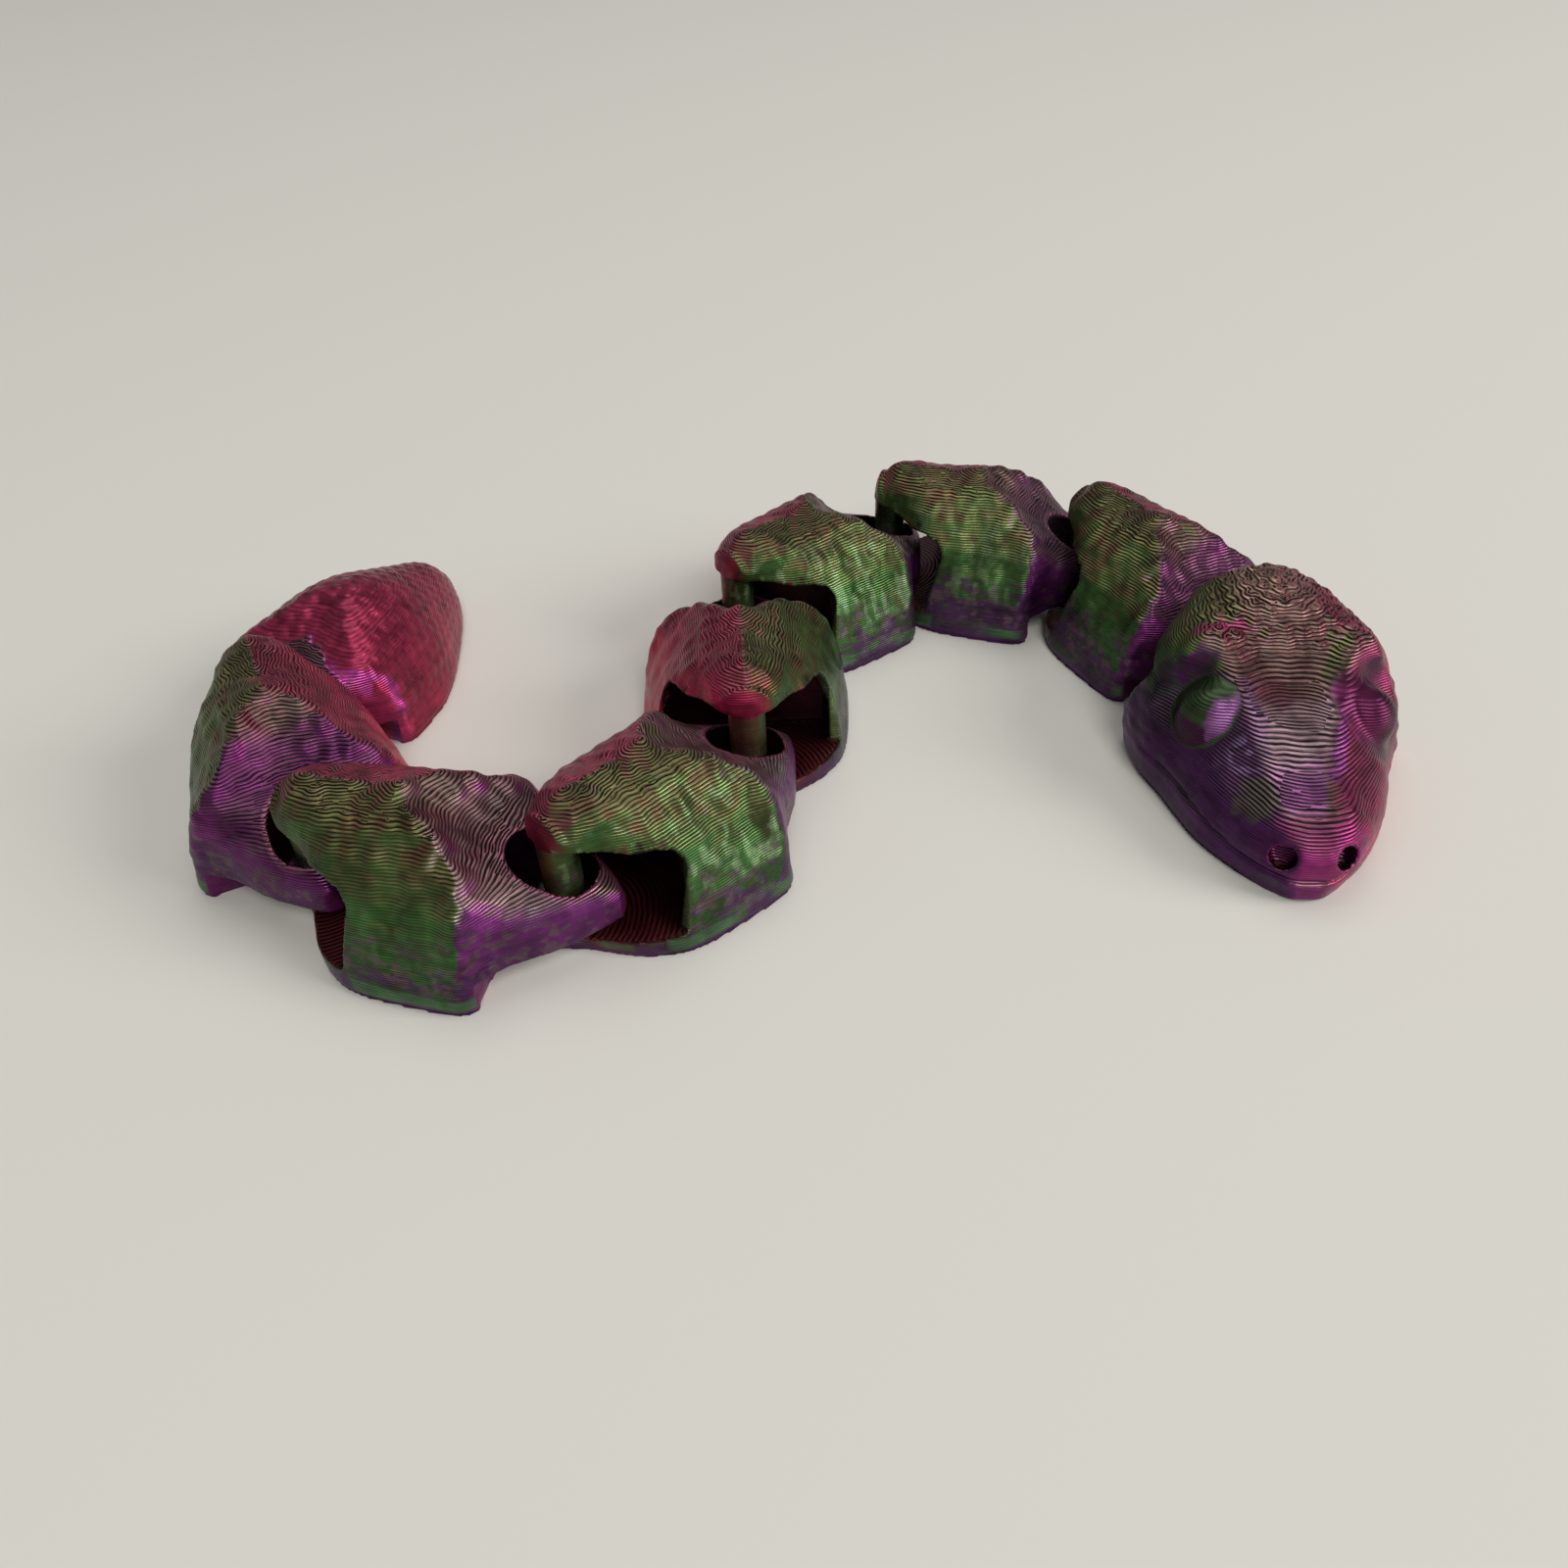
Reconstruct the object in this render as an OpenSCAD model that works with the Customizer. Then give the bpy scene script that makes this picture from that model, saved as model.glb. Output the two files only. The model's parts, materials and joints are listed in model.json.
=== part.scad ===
// Print-in-place articulated snake, lying in an S on its flat belly.
// Nine loose pieces: a head, seven body links and a tail. Each piece has an upright pin in a
// socket at its rear, and the slotted tongue of the piece behind it hangs on that pin.
// Origin: on the floor under the middle link. X along the laid-out length, Z up.
// A piece's own frame: its rear pin stands at x = 0, y = 0, and its nose points along +x.

/* [Chain] */
// Distance between neighbouring pins when the chain is pulled straight
pitch = 20; // [19:0.5:22]
// Direction of the middle link at rest, in degrees from +X
middle_heading = 92; // [80:1:100]
// Bend between the head and link 1 at rest, in degrees
bend_1 = 36; // [-45:1:45]
// Bend between links 1 and 2
bend_2 = 44; // [-56:1:56]
// Bend between links 2 and 3
bend_3 = 54; // [-56:1:56]
// Bend between links 3 and 4
bend_4 = 52; // [-56:1:56]
// Bend between links 4 and 5
bend_5 = -47; // [-56:1:56]
// Bend between links 5 and 6
bend_6 = -56; // [-56:1:56]
// Bend between links 6 and 7
bend_7 = -54; // [-56:1:56]
// Bend between link 7 and the tail
bend_8 = -47; // [-56:1:56]

/* [Joint] */
// Radius of the hinge pin
pin_r = 1.5; // [1.2:0.1:1.8]
// Gap between the pin and the front end of the slot
slot_play = 0.8; // [0.7:0.1:1]
// Gap between the pin and each side of the slot
slot_side = 1.3; // [1.3:0.1:1.5]
// How far the tongue slides back along the pin
slot_travel = 0.9; // [0.9:0.1:1.5]
// Thickness of the floor plate at its rear lip
lip_t = 1; // [0.8:0.1:1.4]
// Thickness of the floor plate inside the socket
floor_t = 2; // [1.4:0.1:2.1]
// Gap between the floor plate and the tongue above it
under_gap = 0.6; // [0.4:0.1:0.8]
// Height of the underside of the roof
roof_z = 9.2; // [9.1:0.1:9.6]
// Height of the underside of the knob above the pin
knob_z = 10.2; // [10:0.1:10.4]
// Thickness of the side wall beside the socket
wall_t = 0.9; // [0.8:0.1:1.2]
// Where the side walls of the socket start at the floor, in front of the pin
wall_x = 4.6; // [4.4:0.1:5]
// How much further forward the rear edge of a side wall is at its top
wall_lean = 1.5; // [1:0.1:1.8]
// Depth of the socket in front of the pin
socket_x = 7.8; // [7:0.1:9]

/* [Body link] */
// Half width of a link at the belly
belly_y = 9.4; // [9.1:0.1:9.7]
// Height of the back
back_z = 13.5; // [13:0.1:14.5]
// How far the nose of the tongue reaches past the pin that it hangs on
nose_x = 4; // [3.6:0.1:4.4]

/* [Head] */
// Length from the head's pin to the tip of the snout
head_len = 26; // [24:0.5:29]
// Half width across the cheeks
cheek_y = 11.5; // [11:0.1:12]
// Height of the crown
crown_z = 14.9; // [14:0.1:16]
// Where the walls of the head's socket start at the floor, in front of the pin
head_wall_x = 5.6; // [5.4:0.1:6]
// Depth of the head's socket in front of the pin
head_socket_x = 9; // [8.5:0.1:10]
// Radius of the eyeball
eye_r = 3; // [2.4:0.1:3.4]
// Radius of a nostril
nostril_r = 1; // [0.6:0.1:1.2]

/* [Tail] */
// Length from the tail's pin hole to its tip
tail_len = 26.5; // [24:0.5:30]
// Height of the tail's back
tail_z = 11.2; // [10.5:0.1:13.5]

/* [Hidden] */

// Longer than any piece is wide or high: how far a cut runs out of a piece.
beyond = 20;
// Reach of the floor lip behind the pin
lip_x = 2;
// How much slimmer a link is round its socket than at its widest
waist = 1.5;
// Size of the corners inside the socket
inner_r = 1.6;
// Height from which the socket's sides lean in, so that the walls keep their thickness
lean_z = 5.4;

// Pieces are counted from the head to the tail, and each bend is with the piece ahead.
bends = [0, bend_1, bend_2, bend_3, bend_4, bend_5, bend_6, bend_7, bend_8];
head_i = 0;
tail_i = len(bends) - 1;
middle = tail_i / 2;
// The origin lies under the middle link, this far in front of its own pin.
middle_x = 9;
// The slots are loose, so at rest a tongue lies a little forward or back on its pin, or aside.
forward = [0, -0.4, 0.3, -0.4, -0.4, 0.1, 0.3, -0.2, 0];
aside = [0, 0, 0, 0.3, 0.2, 0.5, -0.2, 0, 0];

function way(a) = [cos(a), sin(a)];
function heading(i) = i == middle ? middle_heading
    : i < middle ? heading(i + 1) - bends[i + 1]
    : heading(i - 1) + bends[i];
function to_pin_ahead(i) = (pitch - forward[i]) * way(heading(i)) + aside[i] * way(heading(i) + 90);
function pin_at(i) = i == middle ? -middle_x * way(middle_heading)
    : i < middle ? pin_at(i + 1) + to_pin_ahead(i + 1)
    : pin_at(i - 1) - to_pin_ahead(i);

// Moves a piece from its own frame to its place in the laid-out chain.
module placed(i) {
    translate([pin_at(i).x, pin_at(i).y, 0]) rotate([0, 0, heading(i)]) children();
}

// A smooth curve through points p, with n steps to each span. first and last steer its ends.
function curve(p, n, first, last) = let (q = concat([first], p, [last]), m = len(p) - 1) concat(
    [for (i = [1:m], k = [0:n - 1]) let (t = k / n, a = q[i - 1], b = q[i], c = q[i + 1], d = q[i + 2])
        b + t * ((c - a) / 2 + t * (a - 2.5 * b + 2 * c - d / 2 + t * (1.5 * (b - c) + (d - a) / 2)))],
    [p[m]]);

// A closed ring from the half section [[y, z], ...], which runs from the belly edge to the back.
function ring(half, n) = let (
    top = half[len(half) - 2],
    side = curve(half, n, half[0], [-top.x, top.y]), m = len(side) - 1
) concat([for (i = [0:m]) side[i]], [for (i = [m - 1:-1:0]) [-side[i].x, side[i].y]]);

// A closed solid through stations [x, half section], smoothed along x as well.
module lofted(stations, across, along) {
    m = len(stations) - 1;
    s = curve(stations, along, stations[0], stations[m]);
    rings = [for (i = s) [for (p = ring(i[1], across)) [i[0], p.x, p.y]]];
    r = len(rings[0]);
    last = len(rings) - 1;
    polyhedron(
        points = [for (i = rings, p = i) p],
        faces = concat(
            [[for (k = [0:r - 1]) k]],
            [for (i = [0:last - 1], k = [0:r - 1]) let (a = i * r, b = (k + 1) % r)
                each [[a + k, a + r + k, a + b], [a + b, a + r + k, a + r + b]]],
            [[for (k = [r - 1:-1:0]) last * r + k]]));
}

// Rear of a body link: the floor lip, and the roof that narrows to a knob over the pin.
rear_stations = [
    [-lip_x, [[0.7, 0], [0.7, 0.5], [0.6, 0.7], [0.5, 0.9], [0.3, 1], [0, 1]]],
    [-1.4, [[1.3, 0], [1.3, 4], [1.4, 10.2], [1.2, 10.9], [0.7, 11.4], [0, 11.6]]],
    [-0.6, [[2.2, 0], [2.2, 4], [2.4, 10], [2.1, 11.3], [1.1, 12.2], [0, 12.5]]],
    [0.4, [[3.8, 0], [3.8, 4], [3.1, 9.8], [2.7, 11.7], [1.5, 12.8], [0, 13.2]]],
    [1.6, [[5.7, 0], [5.5, 4], [3.7, 9.5], [3.1, 11.9], [1.6, 13.2], [0, back_z]]],
    [3, [[7.1, 0], [6.8, 4], [5.1, 9.1], [3.4, 12], [1.6, 13.2], [0, back_z + 0.1]]],
    [4.6, [[belly_y - 1.2, 0], [belly_y - waist - 0.1, 4], [6.2, 8.9], [3.6, 12], [1.6, 12.9],
        [0, back_z - 0.3]]],
    [6.4, [[belly_y - 0.6, 0], [belly_y - waist + 0.1, 4], [6.7, 8.4], [3.6, 12], [1.6, 13],
        [0, back_z - 0.2]]],
];

// Front of a link or of the tail: two crests run out from the back to the shoulders, and the
// scoop between them falls to the tongue. x is counted from the pin that the tongue hangs on.
front_stations = [
    [-11.3, [[belly_y - 0.3, 0], [belly_y - 0.9, 4], [6.8, 8.2], [3.5, 12.2], [1.6, 13.2], [0, back_z]]],
    [-9.4, [[belly_y - 0.1, 0], [belly_y - 0.7, 4], [6.9, 8.2], [3.4, 12.2], [1.7, 12.7], [0, 12.2]]],
    [-7.7, [[belly_y, 0], [belly_y - 0.5, 4], [7, 8.3], [3.8, 11.8], [1.9, 11.6], [0, 10.9]]],
    [-6.1, [[belly_y, 0], [belly_y - 0.3, 4], [7.5, 8.3], [4.9, 10.5], [2.4, 10], [0, 9.6]]],
    [-5.2, [[belly_y - 0.3, 0], [belly_y - 0.6, 4], [7.6, 8], [5.5, 9.8], [2.7, 9.5], [0, 9.2]]],
    [-4.5, [[8.3, 0], [8.2, 4], [7.5, 7.3], [6, 8.9], [3, 9], [0, 8.8]]],
    [-2.8, [[6.4, 0], [6.4, 4], [6.1, 6], [5, 7.4], [2.6, 8.1], [0, 8.2]]],
    [-0.3, [[4.8, 0], [4.8, 3.8], [4.5, 5.3], [3.8, 6.5], [2.2, 7.3], [0, 7.5]]],
    [1.8, [[2.9, 1], [3, 3.6], [2.8, 4.8], [2.3, 5.8], [1.3, 6.5], [0, 6.7]]],
    [nose_x - 0.7, [[1.4, 2], [1.5, 3.5], [1.4, 4.4], [1.1, 5.1], [0.6, 5.5], [0, 5.6]]],
    [nose_x, [[0.5, 2.6], [0.6, 3.4], [0.5, 4.0], [0.4, 4.4], [0.2, 4.7], [0, 4.8]]],
];
tongue_stations = [for (s = front_stations) [pitch + s[0], s[1]]];

// An outline in the side view, [[x, z], ...], carried right across the piece.
module across(outline) {
    translate([0, beyond, 0]) rotate([90, 0, 0]) linear_extrude(2 * beyond) polygon(outline);
}

// The space that the next piece's tongue swings in, open to the rear. It is as wide as the piece
// behind the side walls' rear edge, and leaves the walls standing in front of it.
module socket(wall_x, depth) {
    inner_y = belly_y - waist - wall_t;
    top_x = wall_x + wall_lean;
    rounded = inner_r * (1 - cos(45));
    intersection() {
        across([
            [-beyond, lip_t], [-lip_x, lip_t], [wall_x, floor_t], [depth, floor_t],
            [depth, roof_z - inner_r], [depth - inner_r, roof_z], [2 * pin_r, roof_z],
            [0, knob_z], [-beyond, knob_z]]);
        union() {
            across([
                [-beyond, 0], [wall_x, 0], [wall_x, lip_t], [top_x, roof_z - inner_r],
                [top_x - rounded, roof_z - rounded], [top_x - inner_r, roof_z], [-beyond, beyond]]);
            rotate([90, 0, 90]) linear_extrude(depth) polygon([
                [-inner_y, 0], [inner_y, 0], [inner_y, lean_z], [inner_y - inner_r, roof_z],
                [inner_r - inner_y, roof_z], [-inner_y, lean_z]]);
        }
    }
}

// The pin is rooted in the floor lip and in the knob.
module pin() {
    root = lip_t / 2;
    translate([0, 0, lip_t - root]) cylinder(h = knob_z - lip_t + 2 * root, r = pin_r, $fn = 48);
}

// Where the floor plate of the piece ahead sweeps when the hinge is bent right over: half outline,
// from the pin ahead.
swept = [[-3, 0], [-3.4, 1.5], [-4.1, 3], [-4.7, 4.5], [-4.9, 6], [-4.9, 8], [-4.8, 9], [-4.3, 11],
    [beyond, 11]];

// The slot for the pin ahead, and the room that the floor plate ahead swings in.
module tongue_cuts() {
    slot_r = pin_r + slot_side;
    front = pitch + slot_play + pin_r - slot_r;
    rear = front - slot_travel;
    translate([0, 0, -beyond]) linear_extrude(2 * beyond) {
        for (x = [rear, front]) translate([x, 0]) circle(r = slot_r, $fn = 48);
        translate([rear, -slot_r]) square([front - rear, 2 * slot_r]);
    }
    translate([pitch, 0, floor_t + under_gap - beyond]) linear_extrude(beyond) polygon(concat(
        swept, [for (i = [len(swept) - 1:-1:1]) [swept[i].x, -swept[i].y]]));
}

module link_body() {
    difference() {
        lofted(concat(rear_stations, tongue_stations), 2, 2);
        socket(wall_x, socket_x);
        tongue_cuts();
    }
    pin();
}

module link(i) color("#5d7a46") placed(i) link_body();
module link_1() link(1);
module link_2() link(2);
module link_3() link(3);
module link_4() link(4);
module link_5() link(5);
module link_6() link(6);
module link_7() link(7);

// The snout's last part: where it starts to round off, and where the nostrils' swelling starts.
snout_x = head_len - 6.5;
muzzle_x = head_len - 3.5;
head_stations = [
    [-2.2, [[0.8, 0], [0.8, 4], [3.2, 10], [2.9, 10.7], [1.6, 11.4], [0, 11.7]]],
    [-1.4, [[1.8, 0], [1.8, 4], [4.9, 9.8], [4.4, 11.3], [2.4, 12.6], [0, 13.1]]],
    [0, [[3.8, 0], [3.8, 4], [5.8, 9.8], [5, 12], [2.7, 13.7], [0, crown_z - 0.6]]],
    [2, [[5.6, 0], [6.2, 4], [7.4, 9.4], [6.1, 12], [3.3, 13.9], [0, crown_z]]],
    [4.2, [[8, 0], [9.4, 4], [9.1, 9], [6.8, 12], [3.8, 13.6], [0, crown_z - 0.1]]],
    [6.2, [[cheek_y - 1, 0], [cheek_y - 0.1, 4.2], [9.9, 8.6], [7.4, 12], [4, 13.5], [0, 14.2]]],
    [8, [[cheek_y - 0.9, 0], [cheek_y - 0.1, 4.2], [9.6, 8.6], [6.1, 12.7], [3.2, 12.6], [0, 13.1]]],
    [9.6, [[cheek_y - 1.1, 0], [cheek_y - 0.5, 4.1], [9.2, 8.4], [5.7, 12], [2.9, 11.9], [0, 12.3]]],
    [11.4, [[cheek_y - 1.5, 0], [cheek_y - 1.1, 4], [8.5, 8], [5.1, 11.1], [2.6, 11], [0, 11.4]]],
    [14, [[8.9, 0], [9.1, 3.8], [7.4, 7.2], [4.3, 9.9], [2.2, 10.1], [0, 10.3]]],
    [17, [[7.9, 0], [8, 3.5], [6.5, 6.4], [3.4, 8.7], [1.8, 8.9], [0, 9.1]]],
    [snout_x, [[6.9, 0], [7, 3.2], [5.7, 5.6], [3, 7.4], [1.6, 7.8], [0, 7.9]]],
    [muzzle_x, [[4.7, 0], [5.2, 2.9], [4.7, 4.8], [3.2, 6.4], [1.7, 6.8], [0, 6.9]]],
    [head_len - 1.4, [[2.6, 0], [3.4, 2.6], [3.3, 4], [2.5, 5.3], [1.3, 5.8], [0, 5.9]]],
    [head_len - 0.3, [[1.2, 0.2], [1.9, 2.3], [1.7, 3.2], [1.3, 4.1], [0.7, 4.6], [0, 4.7]]],
    [head_len, [[0.6, 0.6], [1, 2.2], [0.9, 2.8], [0.7, 3.3], [0.4, 3.6], [0, 3.7]]],
];

// Middle of the left eyeball, from the head's pin
eye = [12.4, 5.9, 7.7];
// Middle and size of the hollow that is scooped out round the left eyeball, under the brow
pit = [13.7, 8.6, 10.2];
pit_r = 5.1;
// Mouth of the left nostril, from the tip of the snout
nostril = [-0.7, 2.5, 4.2];

module head() color("#7a2f7a") placed(head_i) {
    difference() {
        union() {
            difference() {
                lofted(head_stations, 3, 2);
                for (s = [-1, 1]) translate([pit.x, pit.y * s, pit.z]) scale([1, 0.8, 0.9])
                    sphere(r = pit_r, $fn = 40);
            }
            for (s = [-1, 1]) translate([eye.x, eye.y * s, eye.z]) sphere(r = eye_r, $fn = 40);
        }
        socket(head_wall_x, head_socket_x);
        for (s = [-1, 1]) translate([head_len + nostril.x, nostril.y * s, nostril.z])
            rotate([0, 60, 20 * s]) cylinder(h = 4 * nostril_r, r = nostril_r, center = true, $fn = 24);
    }
    pin();
}

// The tail's back is lower than a link's, from this height up.
side_z = 7;
function low(z) = z < side_z ? z : side_z + (z - side_z) * (tail_z - side_z) / (back_z - side_z);

// x is counted from the tail's pin hole, towards the tip.
tail_stations = [
    [-tail_len, [[0.6, 0], [0.6, 0.8], [0.5, 1.3], [0.4, 1.7], [0.2, 1.9], [0, 2]]],
    [0.6 - tail_len, [[1.5, 0], [1.6, 1.6], [1.4, 2.7], [1.0, 3.5], [0.5, 3.9], [0, 4]]],
    [2.4 - tail_len, [[3, 0], [3.1, 2.4], [2.6, 4.2], [1.9, 5.6], [0.9, 6.3], [0, 6.5]]],
    [5.5 - tail_len, [[4.8, 0], [4.8, 2.8], [4.1, 5.2], [2.7, 6.9], [1.3, 7.6], [0, 7.9]]],
    [9 - tail_len, [[6.6, 0], [6.5, 3.2], [5.4, 6.1], [3.6, 8.1], [1.7, 9.1], [0, 9.4]]],
    [-14.5, [[8, 0], [7.8, 3.6], [6.3, 7], [4.1, 9.3], [1.9, 10.3], [0, 10.6]]],
];

module tail() color("#8f2a4f") placed(tail_i) difference() {
    lofted(concat([for (s = tail_stations) [pitch + s[0], s[1]]],
        [for (s = front_stations) [pitch + s[0], [for (p = s[1]) [p.x, low(p.y)]]]]), 2, 2);
    tongue_cuts();
}

head();
link_1();
link_2();
link_3();
link_4();
link_5();
link_6();
link_7();
tail();
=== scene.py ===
"""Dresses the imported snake: each printed piece gets its fine surface and silky three-colour plastic."""
import json
import math

import bpy
import numpy as np
from mathutils import Matrix, Vector


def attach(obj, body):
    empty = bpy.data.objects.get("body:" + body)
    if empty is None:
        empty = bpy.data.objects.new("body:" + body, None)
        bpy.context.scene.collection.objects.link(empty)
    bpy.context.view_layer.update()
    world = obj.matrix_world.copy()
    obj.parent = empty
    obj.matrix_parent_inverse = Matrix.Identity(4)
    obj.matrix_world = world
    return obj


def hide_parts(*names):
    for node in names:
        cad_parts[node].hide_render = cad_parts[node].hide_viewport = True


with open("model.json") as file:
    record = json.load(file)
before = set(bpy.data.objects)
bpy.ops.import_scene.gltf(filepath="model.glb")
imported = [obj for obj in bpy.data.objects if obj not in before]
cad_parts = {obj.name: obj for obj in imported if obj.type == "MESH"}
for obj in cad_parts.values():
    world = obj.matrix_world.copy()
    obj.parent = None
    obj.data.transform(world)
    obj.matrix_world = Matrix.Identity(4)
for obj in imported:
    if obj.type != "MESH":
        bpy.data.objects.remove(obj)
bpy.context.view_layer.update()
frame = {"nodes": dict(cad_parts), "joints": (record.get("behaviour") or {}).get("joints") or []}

# Every length below is in millimetres. The frame and the finished pieces are in metres.
MM = 0.001
PITCH = 20.0
VOXEL = 0.18

# The print: the height of a layer, the width of a stroke on the floor plate, and the widest tread
# of a layer that shows a single stroke. A wider tread shows two, four or eight.
LAYER = 0.2
STROKE = 0.42
WIDEST = 0.38
HEAD_WIDEST = 0.52

# Direction of each piece's nose at rest, in degrees from +X. A piece's own frame has its rear pin
# at the origin, its nose along +x and its left side at positive y.
HEADINGS = {
    "head": -94, "link_1": -58, "link_2": -14, "link_3": 40, "link_4": 92,
    "link_5": 45, "link_6": -11, "link_7": -65, "tail": -112,
}
NAMES = list(HEADINGS)

# Places in a piece's own frame
PIN_REACH = 1.8
SLOT_ENDS = (18.6, 19.5)
SLOT_R = 2.8
SOCKET_HALF = 7.0
LINK_SOCKET = 7.8
HEAD_SOCKET = 9.0
CREST_NUBS = (0.9, 4.7, 8.7)
EDGE_NUBS = [(10.6, 2.4), (12.5, 3.7), (14.4, 5.0)]
EYE = (12.4, 5.9, 7.7)
NOSTRIL = (25.0, 2.5, 3.9)

# The ridges from the brows to the nose: their distance from the middle plane, at these x
RIDGE_X = (8, 14.5, 19.5, 24)
RIDGE_LEFT = (5.8, 3.1, 1.3, 0.8)
RIDGE_RIGHT = (5.8, 3.9, 3.0, 2.0)

# The front edge of the tail's back: its x, at these distances from the middle plane
BACK_EDGE_Y = (0, 2.5, 3.9, 5.4, 7, 8.2)
BACK_EDGE_X = (13.4, 15, 16.2, 16.6, 15.7, 14.4)

# Fine relief of the links: scales and ribs on the sides, grain and nubs on the back
SCALE_PITCH = 1.7
SCALE_DEPTH = 0.07
RIB_PITCH = 3.4
RIB_HEIGHT = 0.07
BACK_PITCH = 1.8
BACK_GRAIN = 0.12
CREST_NUB_R = 1.7
CREST_NUB_HEIGHT = 0.36
EDGE_NUB_R = 1.3
EDGE_NUB_HEIGHT = 0.26

# Fine relief of the head
CROWN_PITCH = 1.5
CROWN_GRAIN = 0.19
RIDGE_HEIGHT = 0.24
RIDGE_WIDTH = 1.1
BROW_HOLLOW = 0.5
BROW_TIP = (8.3, 7.2)
BROW_TIP_R = 1.8
BROW_TIP_HEIGHT = 0.5
EYE_RIM = 0.2
EYE_INSET = 0.12
CHEEK_PITCH = 1.9
CHEEK_DEPTH = 0.15
MOUTH_DEPTH = 0.34
MOUTH_WIDTH = 0.26
MOUTH_FRONT_Z = 2.2
MOUTH_RISE = 0.9

# Fine relief of the tail, and of all pieces' lowest layers
TAIL_PITCH = 1.4
TAIL_DEPTH = 0.09
FLARE = 0.12
FIRST_LAYER_INSET = 0.35

# Relief of the layer lines: the bead of a line on a wall and on a slope, the step from one layer
# to the next on a slope, and the plastic's grain
WALL_BEAD = 0.034
SLOPE_BEAD = 0.06
SLOPE_STEP = 0.09
GRAIN = 0.02

# Colours of the filament by the direction that a wall faces, in degrees from the piece's nose,
# positive to its left: (direction, layer line on a wall, groove below it, layer line on a slope).
# The grooves are darkened as painted shade, and the slope lines are paler with painted sheen; from
# -74 to -58 the slope lines are a painted highlight along the crest between the right side and the
# front. All colours are sRGB, 0..255.
TONES = [
    (-180, (146, 36, 68), (26, 10, 12), (152, 84, 94)),
    (-150, (126, 48, 52), (28, 12, 12), (140, 92, 80)),
    (-130, (76, 94, 48), (32, 14, 12), (112, 102, 66)),
    (-100, (64, 108, 52), (28, 14, 10), (104, 122, 68)),
    (-80, (62, 104, 50), (24, 14, 10), (112, 124, 72)),
    (-74, (62, 104, 50), (24, 14, 10), (150, 150, 110)),
    (-68, (100, 46, 96), (22, 16, 16), (184, 174, 152)),
    (-58, (116, 48, 116), (22, 18, 16), (166, 150, 146)),
    (-46, (128, 48, 126), (22, 18, 16), (142, 114, 112)),
    (-30, (134, 48, 126), (22, 20, 16), (140, 118, 106)),
    (-10, (136, 48, 118), (20, 20, 14), (142, 112, 104)),
    (18, (142, 48, 104), (24, 18, 16), (142, 104, 98)),
    (40, (168, 50, 96), (30, 14, 18), (140, 80, 88)),
    (90, (202, 48, 86), (40, 12, 20), (188, 62, 92)),
    (140, (188, 42, 88), (34, 12, 18), (178, 72, 96)),
    (180, (146, 36, 68), (26, 10, 12), (152, 84, 94)),
]

# How each piece turned out, from 0 to about 1: how far up its right side goes from green to purple,
# how much painted highlight shows there in pale green streaks, and how violet the slopes before
# its back are
LOOKS = {
    "head": (1.2, 0, 0), "link_1": (0.8, 0, 0.8), "link_2": (0.9, 0.6, 0.6),
    "link_3": (0.5, 0.9, 0), "link_4": (0.3, 0, 0), "link_5": (0.3, 0.8, 0.3),
    "link_6": (0.3, 0.1, 0.25), "link_7": (0.9, 0, 1.0), "tail": (0.3, 0, 0),
}

# Each piece draws its own noise: the seeds of a piece start this far after those of the one before.
FIRST_SEED = 40
SEEDS_APART = 20

# Colours of all pieces. The olive mottles are a factor on the green below them.
# The near-black groove between lines on tops: painted shade
TOP_GROOVE = (20, 6, 10)
CURLS = (156, 84, 86)
PIN = (78, 92, 52)
VIOLET_FRONT = (116, 40, 104)
OLIVE_SHIFT = (1.1, 0.58, 0.75)
# Pale green streaks of painted highlight on the sides facing right
GREEN_HIGHLIGHT = (142, 172, 124)
LOW_PURPLE = (86, 42, 92)
LOW_GROOVE = (40, 18, 42)
GREY_FLECKS = (108, 84, 92)
BASE_STRIP = (80, 140, 74)
RIM = (190, 108, 146)
WALL_EDGE = (74, 112, 66)
PLATE_LINE = (98, 34, 36)
PLATE_GROOVE = (30, 6, 10)
# How much of a colour is left inside the hollows, which are darkened as painted shade
INSIDE = 0.1

# Colours of the tail
TAIL_TOP = (98, 44, 84)
TAIL_BACK = (168, 50, 80)
# A painted highlight along the front edge of the smooth back
TAIL_HIGHLIGHT = (186, 70, 156)

# Colours of the head
# A painted highlight on the lines between the brows and along the snout
HIGHLIGHT_BETWEEN_BROWS = (208, 172, 184)
# The crown's paler lines: partly the filament's mixed colours, partly painted sheen
CROWN = (190, 146, 136)
SNOUT = (176, 72, 170)
RIGHT_CHEEK = (84, 32, 88)
LEFT_CHEEK = (150, 36, 90)
NOSE = (158, 40, 116)
TEMPLE = (76, 30, 84)
# Painted shade on the undersides of the brows
UNDER_BROW_SHADE = (64, 28, 62)
CHEEK_FLECKS = (146, 112, 158)
EYEBALL = (62, 22, 54)
LEFT_EYE = (92, 24, 64)
LID = (58, 80, 46)
# A painted highlight on the front facet of the right eye
EYE_FACET_HIGHLIGHT = (132, 78, 134)

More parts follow.
